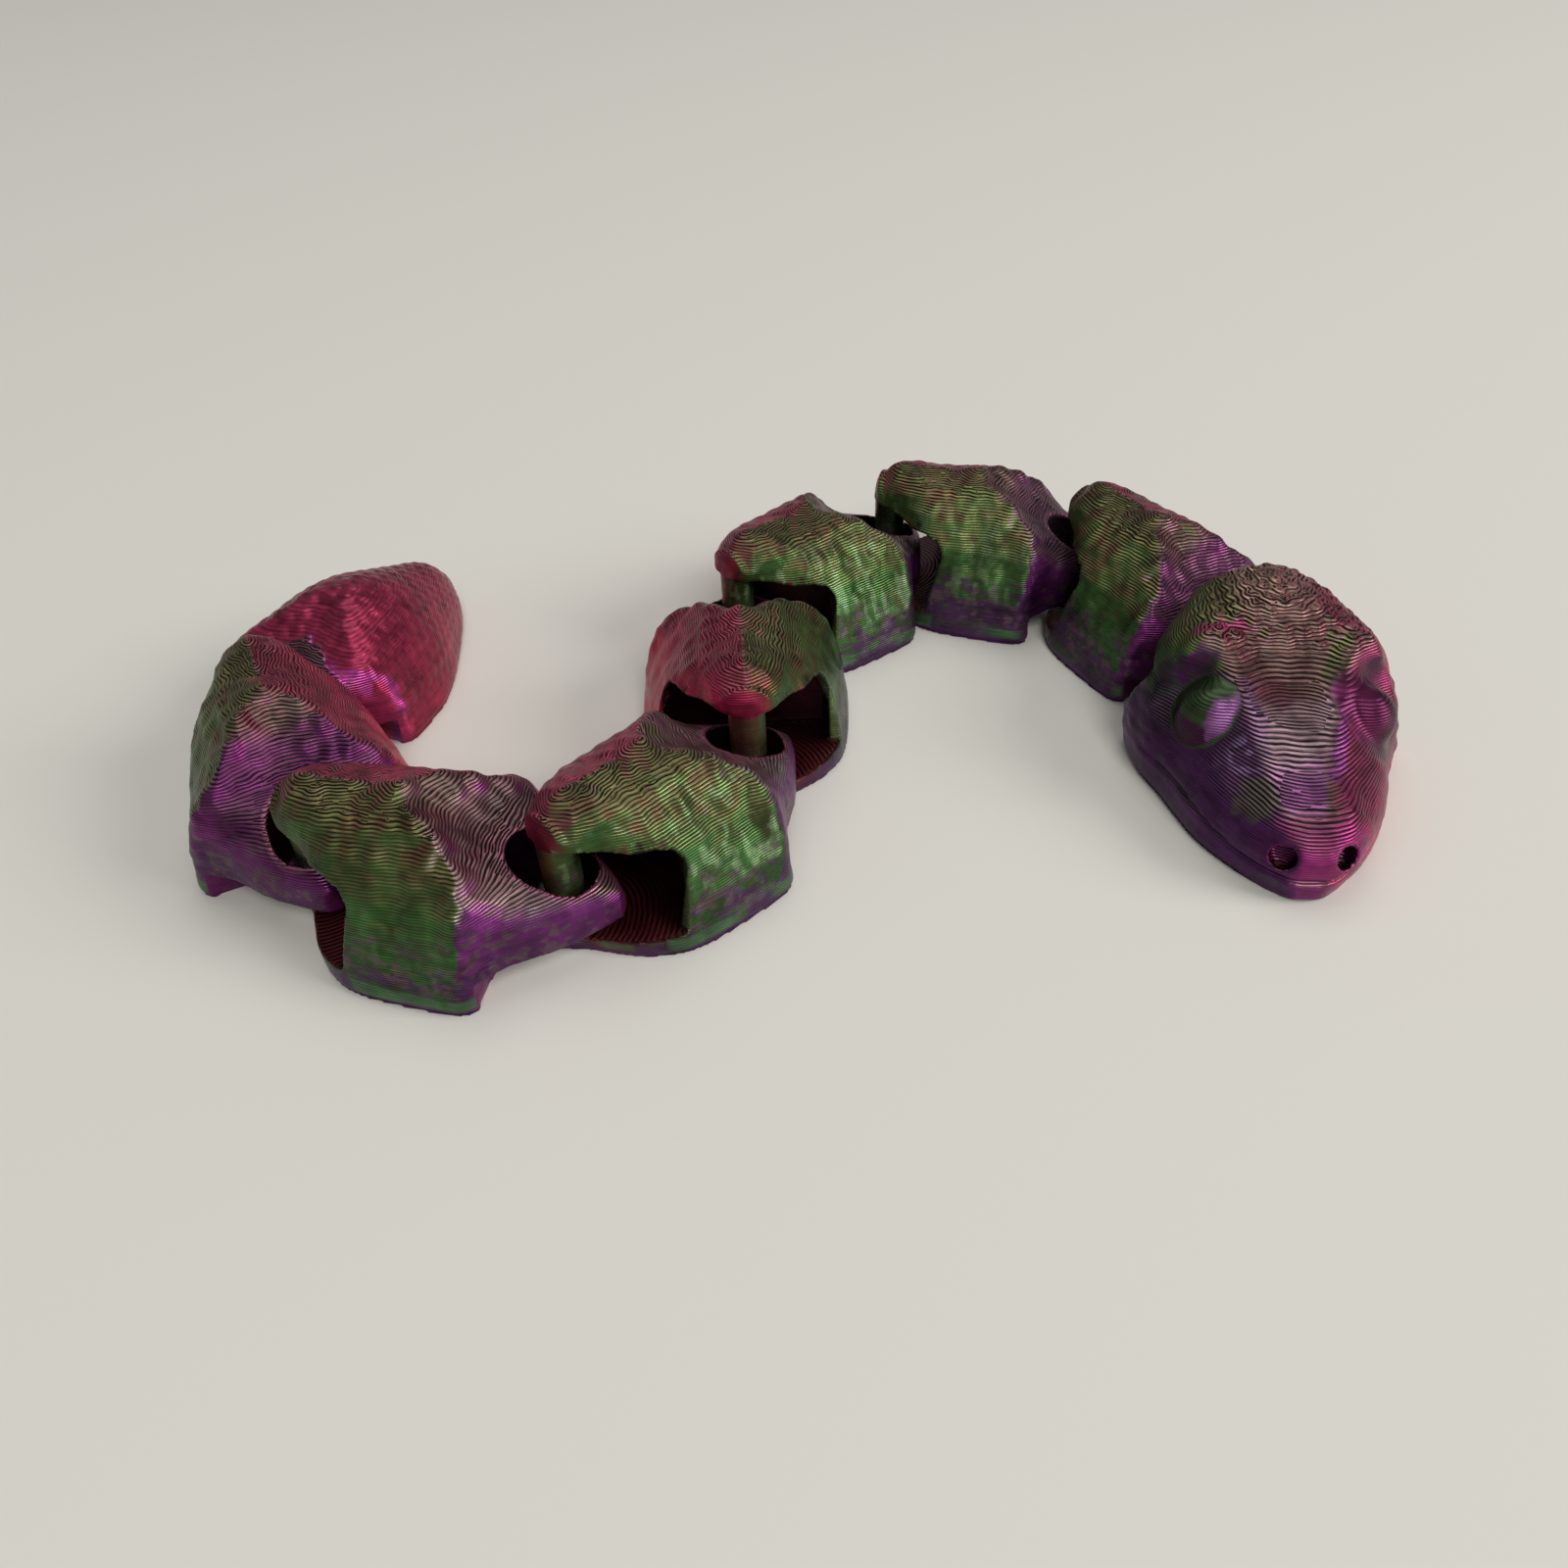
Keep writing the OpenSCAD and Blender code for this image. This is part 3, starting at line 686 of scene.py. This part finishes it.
def dress_tail(to_world, voxel):
    """The tail, scaled all over, with its smooth back behind an edge with a painted highlight."""
    s = Surface("tail", to_world, voxel)
    s.relax(6)
    v = s.v
    x, y, z = v.T
    s.melt(90, smoothstep(4, 6, z) * smoothstep(16.5, 14, x))
    n = s.normals()
    around = np.arctan2(np.abs(y), z - 2) * 7
    side = smoothstep(1.2, 2.2, z) * smoothstep(17, 14, x)
    valley = 1 - scales(x, around, TAIL_PITCH)
    s.push(-TAIL_DEPTH * side * valley + 0.035 * noise(v, 1.3, 4) + base_flare(v, n, 3))
    s.relax(1)
    n = s.normals()
    inner, rim = slot_masks(v, n)
    from_edge = x - np.interp(np.abs(y), BACK_EDGE_Y, BACK_EDGE_X) + 0.5 * noise(v, 0.8, 16)
    behind = smoothstep(0.4, -0.4, from_edge) * smoothstep(-0.75, -0.5, n[:, 1])
    # A painted highlight along that edge
    edge_highlight = band(from_edge, -0.7, 0.35, 0.25) * smoothstep(-0.5, 0.8, y)
    edge_highlight *= smoothstep(-0.1, 0.1, n[:, 1]) * smoothstep(2.0, 4.5, z)
    return s, {
        "inner": inner,
        "rim": rim,
        "smooth": behind,
        "marks": 0.4 * side * smoothstep(0.8, 0.97, valley),
        "tints": [
            (0.5 * smoothstep(0.3, 0.7, n[:, 2]), TAIL_TOP), (0.9 * behind, TAIL_BACK),
            (0.7 * edge_highlight, TAIL_HIGHLIGHT),
        ],
    }


def silk_filament():
    """Silky plastic in layers: the lines follow the height, and their depth follows the slope."""
    material = bpy.data.materials.new("silk_filament")
    material.use_nodes = True
    tree = material.node_tree
    tree.nodes.clear()

    def node(kind, **settings):
        made = tree.nodes.new(kind)
        for key, value in settings.items():
            if key == "inputs":
                for name, v in value.items():
                    if isinstance(v, bpy.types.NodeSocket):
                        tree.links.new(v, made.inputs[name])
                    else:
                        made.inputs[name].default_value = v
            else:
                setattr(made, key, value)
        return made

    def maths(operation, a, b=0.0, c=0.0):
        return node("ShaderNodeMath", operation=operation, inputs={0: a, 1: b, 2: c}).outputs[0]

    def ramp(value, low, high, to_low=0.0, to_high=1.0):
        return node("ShaderNodeMapRange", interpolation_type="SMOOTHSTEP", inputs={
            "Value": value, "From Min": low, "From Max": high, "To Min": to_low, "To Max": to_high,
        }).outputs["Result"]

    def attribute(name, output="Fac"):
        return node("ShaderNodeAttribute", attribute_name=name).outputs[output]

    def grain(scale, detail, squeeze=(1, 1, 1)):
        place = node("ShaderNodeVectorMath", operation="MULTIPLY", inputs={0: position, 1: squeeze})
        return node("ShaderNodeTexNoise", inputs={
            "Vector": place.outputs[0], "Scale": scale, "Detail": detail,
        }).outputs["Fac"]

    def blended(factor, a, b, kind="MIX"):
        return node("ShaderNodeMix", data_type="RGBA", blend_type=kind, clamp_factor=True,
                    inputs={0: factor, 6: a, 7: b}).outputs[2]

    # A layer line's height over its width: edge is 0 on its middle and 1 in the groove.
    position = node("ShaderNodeTexCoord").outputs["Object"]
    wobble = maths("MULTIPLY", maths("SUBTRACT", grain(700, 2), 0.5), 0.5)
    splits = maths("CEIL", attribute("split"))
    splits = node("ShaderNodeClamp", inputs={"Value": splits, "Min": 0.0, "Max": 3.0}).outputs[0]
    rows = maths("MULTIPLY", attribute("rows"), maths("POWER", 2.0, splits))
    phase = maths("FRACT", maths("ADD", rows, wobble))
    edge = maths("ABSOLUTE", maths("MULTIPLY_ADD", phase, 2.0, -1.0))
    slope = ramp(attribute("flat"), 0.25, 0.9)

    streak = grain(1.0, 3, (260, 260, 9000))
    patch = grain(420, 3)
    # The groove between layer lines takes the groove colour, which is darkened as painted shade.
    groove = maths("MULTIPLY", ramp(edge, 0.22, 0.7), ramp(slope, 0.0, 1.0, 0.4, 1.0))
    groove = maths("MULTIPLY", groove, ramp(streak, 0.3, 0.6, 0.6, 1.0))
    colour = blended(groove, attribute("crest", "Color"), attribute("groove", "Color"))
    shade = ramp(maths("MULTIPLY_ADD", streak, 0.6, maths("MULTIPLY", patch, 0.4)), 0.3, 0.7, 0.6, 1.35)
    grey = node("ShaderNodeCombineColor", inputs={0: shade, 1: shade, 2: shade}).outputs[0]
    colour = blended(1.0, colour, grey, "MULTIPLY")

    bead = maths("MULTIPLY", maths("SUBTRACT", 1.0, maths("MULTIPLY", edge, edge)),
                 ramp(slope, 0.0, 1.0, WALL_BEAD * MM, SLOPE_BEAD * MM))
    step = maths("MULTIPLY", maths("SUBTRACT", 1.0, phase), maths("MULTIPLY", slope, SLOPE_STEP * MM))
    relief = maths("ADD", bead, step)
    relief = maths("ADD", relief, maths("MULTIPLY", grain(1400, 2), GRAIN * MM))
    bump = node("ShaderNodeBump", inputs={"Height": relief, "Distance": 1.0, "Strength": 0.9})

    shader = node("ShaderNodeBsdfPrincipled", inputs={
        "Base Color": colour, "Roughness": ramp(patch, 0.3, 0.7, 0.26, 0.38), "Metallic": 0.72,
        "Specular IOR Level": 0.35, "Normal": bump.outputs["Normal"],
    })
    out = node("ShaderNodeOutputMaterial")
    tree.links.new(shader.outputs[0], out.inputs[0])
    return material


def place(name, mesh, to_world, material):
    """A finished piece that stands for the CAD node of its name."""
    mesh.transform(to_world)
    mesh.materials.clear()
    mesh.materials.append(material)
    piece = bpy.data.objects.new("printed_" + name, mesh)
    bpy.context.scene.collection.objects.link(piece)
    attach(piece, name)
    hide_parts(name)


def build_snake():
    frames = piece_frames()
    material = silk_filament()
    voxel = VOXEL
    head, tail = dress_head(frames["head"], voxel), dress_tail(frames["tail"], voxel)
    link = dress_link(frames["link_4"], voxel)
    for k, name in enumerate(NAMES):
        surface, masks = {"head": head, "tail": tail}.get(name, link)
        mesh = surface.finish(masks, LOOKS[name], FIRST_SEED + SEEDS_APART * k)
        place(name, mesh, frames[name], material)


def floor_material():
    material = bpy.data.materials.new("floor")
    material.use_nodes = True
    shader = material.node_tree.nodes["Principled BSDF"]
    shader.inputs["Base Color"].default_value = (*linear(FLOOR), 1)
    shader.inputs["Roughness"].default_value = 0.7
    shader.inputs["Specular IOR Level"].default_value = 0.2
    return material


def build_stage():
    """A pale floor, with a lamp to the right, one behind the viewer and one overhead."""
    mesh = bpy.data.meshes.new("floor")
    half = FLOOR_HALF_M
    corners = [(-half, -half, 0), (half, -half, 0), (half, half, 0), (-half, half, 0)]
    mesh.from_pydata(corners, [], [(0, 1, 2, 3)])
    mesh.materials.append(floor_material())
    floor = bpy.data.objects.new("floor", mesh)
    bpy.context.scene.collection.objects.link(floor)
    for name, at, size, power in LAMPS:
        data = bpy.data.lights.new(name, "AREA")
        data.size = size
        data.energy = power
        lamp = bpy.data.objects.new(name, data)
        lamp.location = at
        lamp.rotation_euler = (-Vector(at)).to_track_quat("-Z", "Y").to_euler()
        bpy.context.scene.collection.objects.link(lamp)
    world = bpy.data.worlds.new("room")
    world.use_nodes = True
    back = world.node_tree.nodes["Background"]
    back.inputs["Color"].default_value = WORLD_COLOUR
    back.inputs["Strength"].default_value = WORLD_STRENGTH
    bpy.context.scene.world = world


def build_camera():
    """The camera, turned about its own axis by the roll after it looks at the aim."""
    aim, eye = Vector(CAMERA_AIM) * MM, Vector(CAMERA_EYE) * MM
    data = bpy.data.cameras.new("camera")
    data.sensor_width = CAMERA_SENSOR
    data.lens = CAMERA_LENS
    data.clip_start = 0.005
    data.clip_end = 20
    camera = bpy.data.objects.new("camera", data)
    camera.location = eye
    back = (eye - aim).normalized()
    right = Vector((0, 0, 1)).cross(back).normalized()
    up = back.cross(right)
    roll = math.radians(CAMERA_ROLL)
    tilted = math.cos(roll) * right + math.sin(roll) * up
    turned = Matrix((tilted, back.cross(tilted), back)).transposed()
    camera.rotation_euler = turned.to_euler()
    bpy.context.scene.collection.objects.link(camera)
    bpy.context.scene.camera = camera


build_camera()
build_snake()
build_stage()
bpy.context.scene.view_settings.view_transform = "Standard"
